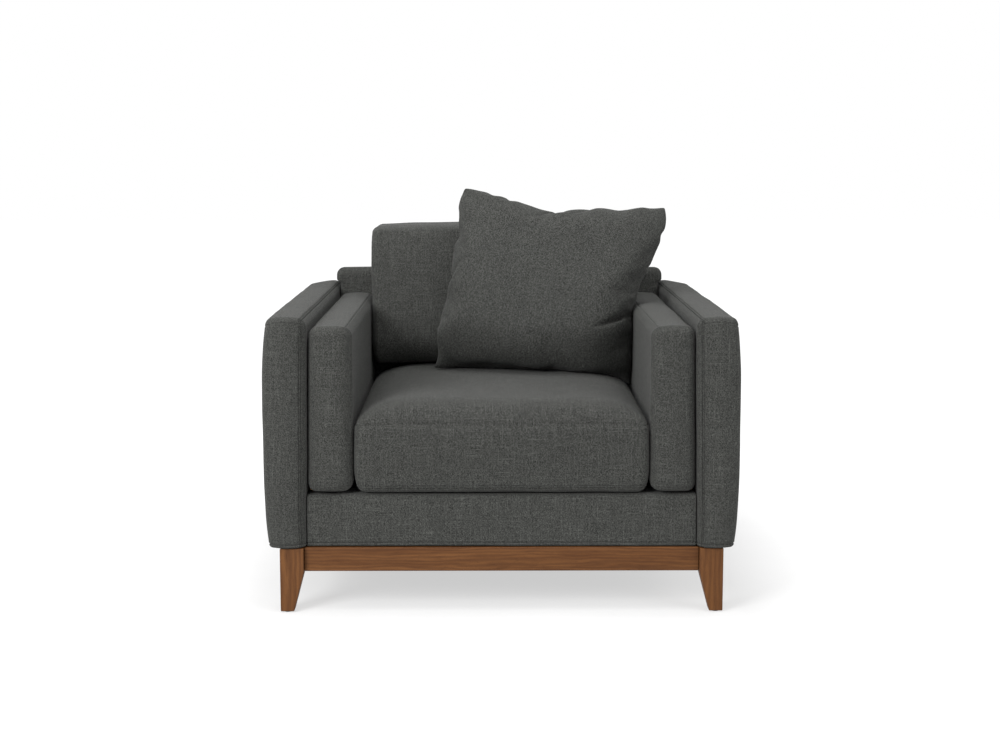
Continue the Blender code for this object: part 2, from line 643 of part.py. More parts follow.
# ---------------------------------------------------------------- throw pillow
def pillow_point(u, v, w, inset=0.0):
    """u, v in -1..1 over the pillow's face, w in -1..1 through its thickness."""
    c = {k: Vector(p) for k, p in PILLOW.items()}
    mid = (c["TL"] + c["TR"] + c["BL"] + c["BR"]) / 4
    half = (c["TR"] - c["TL"] + c["BR"] - c["BL"]).length / 4
    k = (half - inset) / half
    a, b = (u * k + 1) / 2, (v * k + 1) / 2
    p = (c["BL"] * (1 - a) + c["BR"] * a) * (1 - b) + (c["TL"] * (1 - a) + c["TR"] * a) * b
    n = (c["TR"] - c["TL"] + c["BR"] - c["BL"]).cross(c["TL"] - c["BL"] + c["TR"] - c["BR"]).normalized()
    full = (1 - abs(u) ** 2.6) * (1 - abs(v) ** 2.6)
    h = PILLOW_EDGE + (PILLOW_HALF_T - PILLOW_EDGE) * max(full, 0.0) ** 0.75
    p = p + n * (w * (h - inset))
    # the arm pad holds its lower right side in, and the seat holds its lower edge up
    limit = PAD_X - 0.0012 - inset if p.z < PAD_TOP + 0.003 else PAD_X - 0.0012 - inset + (p.z - PAD_TOP - 0.003) * 1.3
    p.x = min(p.x, limit)
    p.z = max(p.z, seat_top(p.x, p.y) + 0.0010 + inset)
    # and the back cushion's face stops it behind
    rear = BC_FRONT + (p.z - BACKC_LO) * RECLINE - 0.0015 - inset
    p.y = min(p.y, rear)
    return p


def pillow_skin(inset, hole=False):
    ku = (-0.88, -0.7, -0.42, -0.14, 0.14, 0.42, 0.7, 0.88)
    kv = (-0.88, -0.7, -0.42, -0.14, 0.14, 0.42, 0.7, 0.88)
    kw = (-0.45, 0.45)
    bm = bmesh.new()
    bmesh.ops.create_cube(bm, size=2.0)
    for i, cs in enumerate((ku, kv, kw)):
        for c in cs:
            n = Vector((0, 0, 0))
            n[i] = 1
            bmesh.ops.bisect_plane(bm, geom=bm.verts[:] + bm.edges[:] + bm.faces[:],
                                   plane_co=n * c, plane_no=n, dist=1e-7)
    if hole:
        gone = [f for f in bm.faces
                if all(abs(v.co.x + 1) < 1e-6 and abs(v.co.y) < 0.43 and abs(v.co.z) < 0.46 for v in f.verts)]
        bmesh.ops.delete(bm, geom=gone, context="FACES")
    for v in bm.verts:
        v.co = pillow_point(v.co.x, v.co.y, v.co.z, inset)
    bm.normal_update()
    return bm


PILLOW_T = 0.0015
mid = sum((Vector(p) for p in PILLOW.values()), Vector()) / 4
shell("throw_pillow_cover", pillow_skin(0.0, hole=True), "cushion_cloth", PILLOW_T, mid)
add_object("throw_pillow_insert", pillow_skin(0.0035), "foam")

# the zip closes the gap in the pillow's left edge
bm = bmesh.new()
bmesh.ops.create_cube(bm, size=2.0)
lean_in = (Vector(PILLOW["BR"]) - Vector(PILLOW["BL"]) + Vector(PILLOW["TR"]) - Vector(PILLOW["TL"])).normalized()
for v in bm.verts:
    s = v.co.x
    p = pillow_point(-1.0, 0.415 * v.co.y, 0.36 * v.co.z)
    v.co = p + lean_in * (0.0003 if s < 0 else 0.0012)
bmesh.ops.recalc_face_normals(bm, faces=bm.faces[:])
add_object("throw_pillow_zip", bm, "zip", smooth=False)

for col in (CUTTERS,):
    for ob in col.objects:
        ob.hide_render = True
        ob.display_type = "WIRE"
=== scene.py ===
"""The armchair's looks: padded upholstery, loose cushions, cloth and wood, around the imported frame."""

import math

import bmesh
import bpy
import numpy as np
from mathutils import Matrix, Vector, noise


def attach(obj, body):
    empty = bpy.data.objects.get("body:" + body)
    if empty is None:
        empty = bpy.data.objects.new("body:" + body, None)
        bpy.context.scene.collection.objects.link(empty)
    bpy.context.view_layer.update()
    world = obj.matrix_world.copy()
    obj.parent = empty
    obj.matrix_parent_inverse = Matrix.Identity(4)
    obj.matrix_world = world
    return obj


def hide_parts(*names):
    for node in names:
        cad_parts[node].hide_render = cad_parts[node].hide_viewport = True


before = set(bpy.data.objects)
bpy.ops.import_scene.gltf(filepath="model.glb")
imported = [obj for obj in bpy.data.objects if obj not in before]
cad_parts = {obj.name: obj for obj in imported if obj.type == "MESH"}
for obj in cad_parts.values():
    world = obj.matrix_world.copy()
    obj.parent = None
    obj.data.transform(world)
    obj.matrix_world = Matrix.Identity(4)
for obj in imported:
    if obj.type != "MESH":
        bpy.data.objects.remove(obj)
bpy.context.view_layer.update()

HALF_W, HALF_D = 0.485, 0.4525
scene = bpy.context.scene


def deep(d):
    """A depth from the arms' front plane, as a Y coordinate."""
    return d - HALF_D


# ------------------------------------------------------------------ node helpers
class Graph:
    """Small helper that builds a material's node tree."""

    def __init__(self, name):
        self.mat = bpy.data.materials.new(name)
        self.mat.use_nodes = True
        self.t = self.mat.node_tree
        self.bsdf = self.t.nodes["Principled BSDF"]
        self.out = self.t.nodes["Material Output"]

    def node(self, kind, **props):
        n = self.t.nodes.new(kind)
        for k, v in props.items():
            setattr(n, k, v)
        return n

    def put(self, socket, value):
        if isinstance(value, bpy.types.NodeSocket):
            self.t.links.new(value, socket)
        elif value is not None:
            socket.default_value = value

    def math(self, op, a, b=None, c=None, clamp=False):
        n = self.node("ShaderNodeMath", operation=op)
        n.use_clamp = clamp
        for i, v in enumerate((a, b, c)):
            if v is not None:
                self.put(n.inputs[i], v)
        return n.outputs[0]

    def vmath(self, op, a, b=None):
        n = self.node("ShaderNodeVectorMath", operation=op)
        self.put(n.inputs[0], a)
        if b is not None:
            self.put(n.inputs[1], b)
        return n.outputs["Value"] if op in ("LENGTH", "DOT_PRODUCT") else n.outputs[0]

    def noise(self, vec, scale=1.0, detail=2.0, rough=0.5, distortion=0.0):
        n = self.node("ShaderNodeTexNoise")
        self.put(n.inputs["Vector"], vec)
        n.inputs["Scale"].default_value = scale
        n.inputs["Detail"].default_value = detail
        n.inputs["Roughness"].default_value = rough
        n.inputs["Distortion"].default_value = distortion
        return n.outputs["Fac"]

    def remap(self, v, a, b, c=0.0, d=1.0):
        n = self.node("ShaderNodeMapRange")
        n.clamp = True
        self.put(n.inputs[0], v)
        for i, x in enumerate((a, b, c, d)):
            n.inputs[i + 1].default_value = x
        return n.outputs[0]

    def mix(self, fac, a, b):
        n = self.node("ShaderNodeMix", data_type="FLOAT")
        self.put(n.inputs[0], fac)
        self.put(n.inputs[2], a)
        self.put(n.inputs[3], b)
        return n.outputs[0]

    def mixrgb(self, fac, a, b, blend="MIX"):
        n = self.node("ShaderNodeMix", data_type="RGBA", blend_type=blend)
        self.put(n.inputs[0], fac)
        self.put(n.inputs[6], a)
        self.put(n.inputs[7], b)
        return n.outputs[2]

    def coords(self):
        return self.node("ShaderNodeTexCoord")

    def bump(self, height, strength, distance):
        n = self.node("ShaderNodeBump")
        n.inputs["Strength"].default_value = strength
        n.inputs["Distance"].default_value = distance
        self.put(n.inputs["Height"], height)
        return n.outputs[0]


def rgb(r, g, b):
    return (r, g, b, 1.0)


def linear(r, g, b):
    """sRGB 0-255 to scene linear."""
    def f(c):
        c /= 255
        return c / 12.92 if c <= 0.04045 else ((c + 0.055) / 1.055) ** 2.4
    return (f(r), f(g), f(b), 1.0)


# ------------------------------------------------------------------ materials
WEAVE = (300.0, 1150.0)     # how closely slubs follow each other along a thread, and threads side by side, per metre


def cloth_material(name, dark, mid, light, seed=0.0, sheen=0.055, contrast=1.0, slubs=1.0):
    """Heathered linen-type plain weave: light and dark slubs along both threads,
    laid on each panel's own sheet coordinates in metres, and a soft nap."""
    g = Graph(name)
    tc = g.coords()
    p = g.vmath("ADD", tc.outputs["Object"], (seed, seed * 0.7, seed * 1.3))
    # a little waviness, so that no thread is perfectly straight
    wav = g.node("ShaderNodeTexNoise")
    g.put(wav.inputs["Vector"], p)
    wav.inputs["Scale"].default_value = 14.0
    wav.inputs["Detail"].default_value = 1.0
    w = g.vmath("SUBTRACT", wav.outputs["Color"], (0.5, 0.5, 0.5))
    w = g.vmath("MULTIPLY", w, (0.0030, 0.0030, 0.0))
    sheet = g.vmath("ADD", g.vmath("ADD", tc.outputs["UV"], w), (seed, seed * 0.6, 0.0))
    sep = g.node("ShaderNodeSeparateXYZ")
    g.put(sep.inputs[0], sheet)

    def threads(long_, fine, shift, detail=1.0, rough=0.5):
        a = g.vmath("ADD", g.vmath("MULTIPLY", sheet, (long_, fine, 0.0)), (0.0, 0.0, shift))
        c = g.vmath("ADD", g.vmath("MULTIPLY", sheet, (fine, long_, 0.0)), (7.3, 1.1, 3.7 + shift))
        return g.noise(a, 1.0, detail, rough), g.noise(c, 1.0, detail, rough)

    weft, warp = threads(WEAVE[0], WEAVE[1], 0.0)
    weft2, warp2 = threads(17.0, 900.0, 21.0, 0.0)
    # light slubs where a thread swells, dark where it thins; now and then a long one
    hi = g.math("ADD", g.remap(weft, 0.51, 0.68), g.remap(warp, 0.51, 0.68))
    lo = g.math("ADD", g.remap(weft, 0.49, 0.32), g.remap(warp, 0.49, 0.32))
    hi = g.math("ADD", hi, g.math("ADD", g.remap(weft2, 0.62, 0.76, 0.0, 0.6 * slubs), g.remap(warp2, 0.64, 0.78, 0.0, 0.55 * slubs)))
    lo = g.math("ADD", lo, g.math("ADD", g.remap(weft2, 0.39, 0.27, 0.0, 0.9 * slubs), g.remap(warp2, 0.37, 0.26, 0.0, 0.9 * slubs)))
    # thread-scale plain weave
    k = 2 * math.pi / 0.0014
    weave = g.math("MULTIPLY", g.math("SINE", g.math("MULTIPLY", sep.outputs[0], k)),
                   g.math("SINE", g.math("MULTIPLY", sep.outputs[1], k)))
    # cloud of dye variation and slight wear
    cloud = g.noise(p, 9.0, 3.0, 0.55)
    patch = g.noise(p, 46.0, 2.0, 0.5)

    fleck = g.noise(g.vmath("MULTIPLY", p, (1020.0, 1020.0, 1020.0)), 1.0, 1.0, 0.5)
    base = g.mixrgb(g.math("MULTIPLY", lo, 0.54 * contrast, clamp=True), mid, dark)
    base = g.mixrgb(g.math("MULTIPLY", hi, 0.40 * contrast, clamp=True), base, light)
    base = g.mixrgb(g.remap(fleck, 0.54, 0.74, 0.0, 0.72 * contrast), base, light)
    base = g.mixrgb(g.remap(fleck, 0.46, 0.26, 0.0, 0.78 * contrast), base, dark)
    tone = g.math("ADD", g.remap(cloud, 0.3, 0.7, -0.03, 0.03), g.remap(patch, 0.3, 0.7, -0.012, 0.012))
    tone = g.math("ADD", tone, g.math("MULTIPLY", weave, 0.07))
    tone = g.math("ADD", tone, 1.0)
    vec = g.node("ShaderNodeCombineXYZ")
    for i in range(3):
        g.put(vec.inputs[i], tone)
    base = g.mixrgb(1.0, base, vec.outputs[0], "MULTIPLY")
    g.put(g.bsdf.inputs["Base Color"], base)
    g.put(g.bsdf.inputs["Roughness"], g.remap(weft, 0.3, 0.7, 0.86, 0.97))
    g.bsdf.inputs["Specular IOR Level"].default_value = 0.14
    g.bsdf.inputs["Sheen Weight"].default_value = sheen
    g.bsdf.inputs["Sheen Roughness"].default_value = 0.45
    g.bsdf.inputs["Sheen Tint"].default_value = (0.80, 0.80, 0.79, 1.0)
    height = g.math("ADD", g.math("MULTIPLY", weft, 0.8), g.math("MULTIPLY", warp, 0.7))
    height = g.math("ADD", height, g.math("MULTIPLY", weave, 0.25))
    g.put(g.bsdf.inputs["Normal"], g.bump(height, 0.55, 0.0007))
    return g.mat


def wood_material(name, along, seed=0.0, tones=None, rough=0.55):
    """Stained wood: long grain along one axis, growth-ring bands, fine pores."""
    dark, mid, light = tones or (linear(50, 26, 9), linear(73, 43, 18), linear(90, 57, 28))
    g = Graph(name)
    tc = g.coords()
    p = g.vmath("ADD", tc.outputs["Object"], (seed, seed * 1.7, seed * 0.6))
    stretch = [1.0, 1.0, 1.0]
    stretch[along] = 0.085
    drift = g.node("ShaderNodeTexNoise")
    slow = [22.0, 22.0, 22.0]
    slow[along] = 5.5
    g.put(drift.inputs["Vector"], g.vmath("MULTIPLY", p, tuple(slow)))
    drift.inputs["Scale"].default_value = 1.0
    drift.inputs["Detail"].default_value = 2.0
    amount = [0.020, 0.020, 0.020]
    amount[along] = 0.0
    p = g.vmath("ADD", p, g.vmath("MULTIPLY", g.vmath("SUBTRACT", drift.outputs["Color"], (0.5, 0.5, 0.5)), tuple(amount)))
    q = g.vmath("MULTIPLY", p, tuple(stretch))
    bend = g.noise(g.vmath("MULTIPLY", p, tuple(6.0 * s for s in stretch)), 1.0, 2.0, 0.5)
    ring = g.node("ShaderNodeTexWave", wave_type="RINGS", bands_direction="XYZ"[along], rings_direction="XYZ"[along])
    rq = g.vmath("ADD", q, (0.05, 0.035, -0.04))
    g.put(ring.inputs["Vector"], rq)
    ring.inputs["Scale"].default_value = 46.0
    ring.inputs["Distortion"].default_value = 5.0
    ring.inputs["Detail"].default_value = 3.0
    ring.inputs["Detail Scale"].default_value = 1.6
    grain = g.noise(g.vmath("MULTIPLY", q, (300.0, 300.0, 300.0)), 1.0, 3.0, 0.6)
    fig = g.noise(g.vmath("MULTIPLY", q, (70.0, 70.0, 70.0)), 1.0, 3.0, 0.55)
    pores = g.noise(g.vmath("MULTIPLY", q, (1300.0, 1300.0, 1300.0)), 1.0, 1.0, 0.5)
    base = g.mixrgb(g.remap(fig, 0.32, 0.70), mid, light)
    base = g.mixrgb(g.math("MULTIPLY", ring.outputs["Fac"], 0.42), base, dark)
    base = g.mixrgb(g.remap(grain, 0.50, 0.75, 0.0, 0.45), base, dark)
    base = g.mixrgb(g.remap(bend, 0.45, 0.70, 0.0, 0.35), base, light)
    base = g.mixrgb(g.remap(pores, 0.64, 0.74, 0.0, 0.55), base, dark)
    g.put(g.bsdf.inputs["Base Color"], base)
    g.put(g.bsdf.inputs["Roughness"], g.remap(grain, 0.3, 0.7, rough - 0.06, rough + 0.14))
    g.bsdf.inputs["Specular IOR Level"].default_value = 0.16
    height = g.math("SUBTRACT", g.math("MULTIPLY", grain, 0.6), g.math("MULTIPLY", pores, 0.5))
    g.put(g.bsdf.inputs["Normal"], g.bump(height, 0.25, 0.0004))
    return g.mat


def simple_material(name, dark, light, scale, rough, metal=0.0, bump=0.2, stretch=(1, 1, 1), detail=3.0):
    """A worn plain finish: two tones and a fine bump."""
    g = Graph(name)
    tc = g.coords()
    p = g.vmath("MULTIPLY", tc.outputs["Object"], tuple(scale * s for s in stretch))
    a = g.noise(p, 1.0, detail, 0.6)
    b = g.noise(p, 0.13, 2.0, 0.5)
    base = g.mixrgb(g.remap(a, 0.3, 0.7), dark, light)
    base = g.mixrgb(g.remap(b, 0.35, 0.7, 0.0, 0.35), base, dark)
    g.put(g.bsdf.inputs["Base Color"], base)
    g.put(g.bsdf.inputs["Roughness"], g.remap(a, 0.3, 0.7, max(rough - 0.08, 0.05), min(rough + 0.08, 1.0)))
    g.bsdf.inputs["Metallic"].default_value = metal
    g.put(g.bsdf.inputs["Normal"], g.bump(a, bump, 0.0005))
    return g.mat


DARK, MID, LIGHT = linear(14, 14, 13), linear(36, 36.5, 35), linear(80, 81, 78)
CLOTH = cloth_material("cloth_body", DARK, MID, LIGHT, seed=0.37)
CLOTH_R = cloth_material("cloth_body_right", DARK, linear(35, 35.5, 34), linear(78, 79, 76), seed=2.11, contrast=1.15)
CLOTH_RAIL = cloth_material("cloth_rail", DARK, linear(35.5, 36, 34.5), linear(79, 80, 77), seed=4.4, contrast=1.2)
CLOTH_SEAT = cloth_material("cloth_seat", linear(13.3, 13.3, 12.4), linear(34.2, 34.7, 33.3), linear(76, 77, 74), seed=5.9, contrast=1.22)
CLOTH_BACK = cloth_material("cloth_back", DARK, MID, LIGHT, seed=7.2, contrast=1.05)
CLOTH_PILLOW = cloth_material("cloth_pillow", linear(12.9, 12.9, 12), linear(33.1, 33.6, 32.2), linear(73.6, 74.6, 71.8), seed=9.5, contrast=1.5, slubs=0.35)
WOOD = [wood_material("wood_x", 0, 0.31), wood_material("wood_y", 1, 1.73), wood_material("wood_z", 2, 3.11)]


# ------------------------------------------------------------------ padded blocks
def spline(xs, ys):
    """A smooth curve through points, flat beyond its ends."""
    xs, ys = np.array(xs, float), np.array(ys, float)
    m = np.gradient(ys, xs)

    def f(x):
        x = np.clip(np.asarray(x, float), xs[0], xs[-1])
        i = np.clip(np.searchsorted(xs, x) - 1, 0, len(xs) - 2)
        h = xs[i + 1] - xs[i]
        t = (x - xs[i]) / h
        return ((1 + 2 * t) * (1 - t) ** 2 * ys[i] + t * (1 - t) ** 2 * h * m[i]
                + t * t * (3 - 2 * t) * ys[i + 1] + t * t * (t - 1) * h * m[i + 1])
    return f


def smooth(t):
    t = np.clip(t, 0, 1)
    return t * t * (3 - 2 * t)


def axis_cuts(lo, hi, rlo, rhi, step, seams=(), extra=(), arcs=5):
    out = [lo, hi]
    for i in range(arcs):
        s = math.tan(math.radians(45 * i / arcs))
        if rlo:
            out.append(lo + rlo * (1 - s))
        if rhi:
            out.append(hi - rhi * (1 - s))
    a, b = lo + rlo, hi - rhi
    n = max(1, int(round((b - a) / step)))
    out += list(np.linspace(a, b, n + 1))
    fixed = []
    for s in seams:
        fixed += [s + d for d in (-0.0055, -0.0032, -0.0018, -0.0008, 0.0, 0.0008, 0.0018, 0.0032, 0.0055)]
    fixed += list(extra)
    fixed = [f for f in fixed if lo + 1e-5 < f < hi - 1e-5]
    out = [o for o in out if o in (lo, hi) or all(abs(o - f) > 0.0011 for f in fixed)] + fixed
    out = sorted(out)
    keep = [out[0]]
    for o in out[1:]:
        if o - keep[-1] > 0.00035:
            keep.append(o)
    keep[-1] = hi
    return keep


class Block:
    """A padded block: a fine box grid with rounded edges, shaped, seamed and softened.

    r gives the edge radius on each side: (-x, +x, -y, +y, -z, +z)."""

    def __init__(self, name, lo, hi, r, step=0.012, seams=(), extra=((), (), ())):
        self.name, self.lo, self.hi, self.r = name, np.array(lo, float), np.array(hi, float), r
        self.seams = seams
        cuts = []
        for i in range(3):
            cuts.append(axis_cuts(lo[i], hi[i], r[2 * i], r[2 * i + 1], step,
                                  [s["at"] for s in seams if s["axis"] == i], extra[i]))
        self.cuts = cuts
        X, Y, Z = cuts
        nx, ny, nz = len(X), len(Y), len(Z)
        index, pts, faces = {}, [], []

        def vid(i, j, k):
            key = (i, j, k)
            if key not in index:
                index[key] = len(pts)
                pts.append((X[i], Y[j], Z[k]))
            return index[key]

        for i in range(nx - 1):
            for j in range(ny - 1):
                faces.append((vid(i, j, 0), vid(i, j + 1, 0), vid(i + 1, j + 1, 0), vid(i + 1, j, 0)))
                k = nz - 1
                faces.append((vid(i, j, k), vid(i + 1, j, k), vid(i + 1, j + 1, k), vid(i, j + 1, k)))
        for i in range(nx - 1):
            for k in range(nz - 1):
                faces.append((vid(i, 0, k), vid(i + 1, 0, k), vid(i + 1, 0, k + 1), vid(i, 0, k + 1)))
                j = ny - 1
                faces.append((vid(i, j, k), vid(i, j, k + 1), vid(i + 1, j, k + 1), vid(i + 1, j, k)))
        for j in range(ny - 1):
            for k in range(nz - 1):
                faces.append((vid(0, j, k), vid(0, j, k + 1), vid(0, j + 1, k + 1), vid(0, j + 1, k)))
                i = nx - 1
                faces.append((vid(i, j, k), vid(i, j + 1, k), vid(i, j + 1, k + 1), vid(i, j, k + 1)))
        self.P0 = np.array(pts)
        self.faces = faces
        self.grids = [
            np.array([[vid(i, j, 0) for j in range(ny)] for i in range(nx)]),
            np.array([[vid(i, j, nz - 1) for j in range(ny)] for i in range(nx)]),
            np.array([[vid(i, 0, k) for k in range(nz)] for i in range(nx)]),
            np.array([[vid(i, ny - 1, k) for k in range(nz)] for i in range(nx)]),
            np.array([[vid(0, j, k) for k in range(nz)] for j in range(ny)]),
            np.array([[vid(nx - 1, j, k) for k in range(nz)] for j in range(ny)]),
        ]
        one, two, three = (nx - 1) * (ny - 1), (nx - 1) * (nz - 1), (ny - 1) * (nz - 1)
        self.face_side = np.array([0, 1] * one + [2, 3] * two + [4, 5] * three)
        self.P = self.rounded(self.P0)

    def rounded(self, P):
        r = self.r
        rl, rh = np.array([r[0], r[2], r[4]]), np.array([r[1], r[3], r[5]])
        q = np.clip(P, self.lo + rl, self.hi - rh)
        d = P - q
        rad = np.where(d < 0, rl, rh)
        rad = np.where(rad <= 0, 1e-9, rad)
        e = d / rad
        n = np.linalg.norm(e, axis=1, keepdims=True)
        n[n < 1e-9] = 1.0
        return q + rad * e / n

    def on(self, side):
        i = "xyz".index(side[1])
        at = self.lo[i] if side[0] == "-" else self.hi[i]
        return np.abs(self.P0[:, i] - at) < 1e-7

    def shape(self, f):
        self.P = f(self.P.copy())
        return self

    def normals(self):
        me = bpy.data.meshes.new("tmp")
        me.from_pydata(self.P.tolist(), [], self.faces)
        n = np.zeros(len(self.P) * 3)
        me.vertices.foreach_get("normal", n)
        bpy.data.meshes.remove(me)
        return n.reshape(-1, 3)

    def seam_depth(self):
        """How far each point sinks for the seams and the top stitching beside them."""
        d = np.zeros(len(self.P0))
        for s in self.seams:
            on = np.zeros(len(d), bool)
            for side in s["sides"]:
                on |= self.on(side)
            if "where" in s:
                on &= s["where"](self.P0)
            t = np.abs(self.P0[:, s["axis"]] - s["at"])
            w = s.get("width", 0.0011)
            d = np.minimum(d, np.where(on, -s.get("depth", 0.0016) * np.exp(-(t / w) ** 2), 0))
            lip = s.get("lip", 0.0005)
            d = d + np.where(on, lip * np.exp(-((t - 0.0032) / 0.0016) ** 2), 0)
        return d

    def soften(self, amp=0.0010, freq=9.0, seed=0.0, more=None):
        n = self.normals()
        und = np.array([noise.noise(Vector(p) * freq + Vector((seed, seed, seed))) for p in self.P])
        und += 0.4 * np.array([noise.noise(Vector(p) * freq * 2.7 + Vector((seed, 3 + seed, seed))) for p in self.P])
        d = self.seam_depth() + amp * und
        if more is not None:
            d = d + more(self)
        self.P = self.P + n * d[:, None]
        return self

    def within(self, lo=(None, None, None), hi=(None, None, None)):
        """Holds the softened surface on its own side of its neighbours."""
        for i in range(3):
            if lo[i] is not None:
                self.P[:, i] = np.maximum(self.P[:, i], lo[i])
            if hi[i] is not None:
                self.P[:, i] = np.minimum(self.P[:, i], hi[i])
        return self

    def mirrored(self):
        self.P[:, 0] *= -1
        self.faces = [tuple(reversed(f)) for f in self.faces]
        return self

    def sheet(self):
        """Each corner's place on its side's flat cloth, in metres, measured along the shaped surface."""
        A = np.zeros((6, len(self.P), 2))
        for s, grid in enumerate(self.grids):
            Q = self.P[grid]
            da = np.linalg.norm(np.diff(Q, axis=0), axis=2)
            db = np.linalg.norm(np.diff(Q, axis=1), axis=2)
            a = np.concatenate([np.zeros((1, Q.shape[1])), np.cumsum(da, 0)])
            c = np.concatenate([np.zeros((Q.shape[0], 1)), np.cumsum(db, 1)], 1)
            a = a - a[len(a) // 2][None]
            A[s, grid, 0] = a + 2.3 * s
            A[s, grid, 1] = c
        F = np.array(self.faces)
        return A[self.face_side[:, None], F]

    def make(self, material):
        me = bpy.data.meshes.new(self.name)
        me.from_pydata(self.P.tolist(), [], self.faces)
        uv = me.uv_layers.new(name="sheet")
        uv.data.foreach_set("uv", self.sheet().ravel())
        me.update()
        me.shade_smooth()
        ob = bpy.data.objects.new(self.name, me)
        scene.collection.objects.link(ob)
        me.materials.append(material)
        return ob


def seam(axis, at, sides, **more):
    return dict(axis=axis, at=at, sides=sides, **more)


def cloth_fill(P, faces, frames=14, pressure=4.0, stiffness=30.0, bending=0.3, pin=None, mass=0.25):
    """Swell a closed cloth from inside, without gravity, and return its points."""
    me = bpy.data.meshes.new("swell")
    me.from_pydata(P.tolist(), [], faces)
    me.update()
    ob = bpy.data.objects.new("swell", me)
    scene.collection.objects.link(ob)
    if pin is not None:
        vg = ob.vertex_groups.new(name="pin")
        vg.add([int(i) for i in np.nonzero(pin)[0]], 1.0, "REPLACE")
    m = ob.modifiers.new("cloth", "CLOTH")
    st = m.settings
    st.quality = 6
    st.mass = mass
    st.tension_stiffness = st.compression_stiffness = stiffness
    st.shear_stiffness = stiffness * 0.35
    st.bending_stiffness = bending
    st.tension_damping = st.compression_damping = st.shear_damping = 5
    st.bending_damping = 0.5
    st.air_damping = 2
    st.use_pressure = True
    st.uniform_pressure_force = pressure
    st.effector_weights.gravity = 0
    if pin is not None:
        st.vertex_group_mass = "pin"
    m.point_cache.frame_start, m.point_cache.frame_end = 1, frames
    for f in range(1, frames + 1):
        scene.frame_set(f)
    ev = ob.evaluated_get(bpy.context.evaluated_depsgraph_get())
    em = ev.to_mesh()
    Q = np.zeros(len(em.vertices) * 3)
    em.vertices.foreach_get("co", Q)
    ev.to_mesh_clear()
    bpy.data.objects.remove(ob)
    bpy.data.meshes.remove(me)
    scene.frame_set(1)
    return Q.reshape(-1, 3)


# ------------------------------------------------------------------ outer arms
BODY_Z = 0.1348
arm_in = spline([0.13, 0.19, 0.30, 0.45, 0.60, 0.62], [0.402, 0.4018, 0.4000, 0.3973, 0.3947, 0.3945])
arm_out = spline([0.13, 0.150, 0.175, 0.24, 0.34, 0.45, 0.52, 0.575, 0.60, 0.62],
                 [0.4762, 0.4800, 0.4830, 0.4862, 0.4872, 0.4870, 0.4850, 0.4814, 0.4788, 0.4777])


def arm_shape(P):
    x, y, z = P.T
    u = (x - 0.3935) / 0.0915
    a, b = arm_in(z), arm_out(z)
    r = 0.070
    yc = HALF_D - r
    lim = np.where(y > yc, HALF_W - r + np.sqrt(np.maximum(r * r - (y - yc) ** 2, 0)), HALF_W)
    b = a + (b - a) * (lim - 0.3935) / 0.0915
    crown = 0.0062 * (4 * u * (1 - u)) - 0.0062
    zz = z + crown * smooth((z - 0.45) / 0.16)
    # the front panel is stuffed a little proud
    front = smooth((-y - 0.42) / 0.03) * (0.0140 * (4 * u * (1 - u)) - 0.0100)
    xx = a + (b - a) * u
    # the inner top edge falls in a soft round towards the pads
    return np.stack([xx, y - front, zz], 1)


def build_arm(side, sx, seed):
    sag = 0.0026 if sx > 0 else 0.0009
    seams = [
        seam(0, 0.4008, ("-y", "+z", "+y"), depth=0.0030, width=0.0013, lip=0.0008),
        seam(0, 0.4064, ("-y", "+z"), depth=0.0022, width=0.0011, lip=0.0002),
        seam(1, -HALF_D + 0.0022 + 0.0125, ("+x", "+z"), depth=0.0011),
        seam(1, HALF_D - 0.0135, ("+z",), depth=0.0011),
        seam(2, 0.5975, ("+x",), depth=0.0013),
        seam(2, 0.6010, ("-y",), depth=0.0014),
        seam(2, 0.1430, ("-y", "+x", "-x", "+y"), depth=0.0020),
    ]
    b = Block("arm_" + side, (0.3935, -HALF_D + 0.0022, BODY_Z), (HALF_W, HALF_D, 0.612),
              (0.021, 0.010, 0.013, 0.012, 0.004, 0.014), step=0.012, seams=seams)
    b.shape(arm_shape)
    b.shape(lambda P: P - np.array([[0, 0, 1.0]]) * (sag * smooth((P[:, 2] - 0.50) / 0.10) * smooth((P[:, 1] + 0.15) / 0.30)
                                                     * smooth((np.abs(P[:, 0]) - 0.41) / 0.05))[:, None])
    b.soften(amp=0.0011, freq=7.0, seed=seed)
    if sx < 0:
        b.mirrored()
    ob = b.make(CLOTH if sx < 0 else CLOTH_R)
    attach(ob, "frame")
    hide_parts("arm_cover_" + side, "arm_foam_" + side)
    return ob


ARMS = {side: build_arm(side, sx, seed) for side, sx, seed in (("left", -1, 1.3), ("right", 1, 8.1))}

# ------------------------------------------------------------------ inner arm pads
PAD_X, PAD_Z, PAD_TOP = 0.3045, 0.2510, 0.5886
RECLINE = 0.1125
BACK_FACE = 0.745


def back_face(z):
    return deep(BACK_FACE) + (z - PAD_Z) * RECLINE


def pad_shape(P):
    x, y, z = P.T
    u = (x - PAD_X) / 0.093
    out = arm_in(np.maximum(z, 0.27)) - 0.0016
    crown = (0.0055 * (4 * u * (1 - u)) - 0.0020) * smooth((z - 0.48) / 0.10)
    v = (y - deep(0.012)) / (deep(BACK_FACE) - deep(0.012))
    yy = deep(0.012) + v * (back_face(z) - 0.0015 - deep(0.012))
    front = smooth(1 - v * 18) * (0.0148 * (4 * u * (1 - u)) - 0.0095)
    return np.stack([PAD_X + u * (out - PAD_X), yy - front, z + crown], 1)


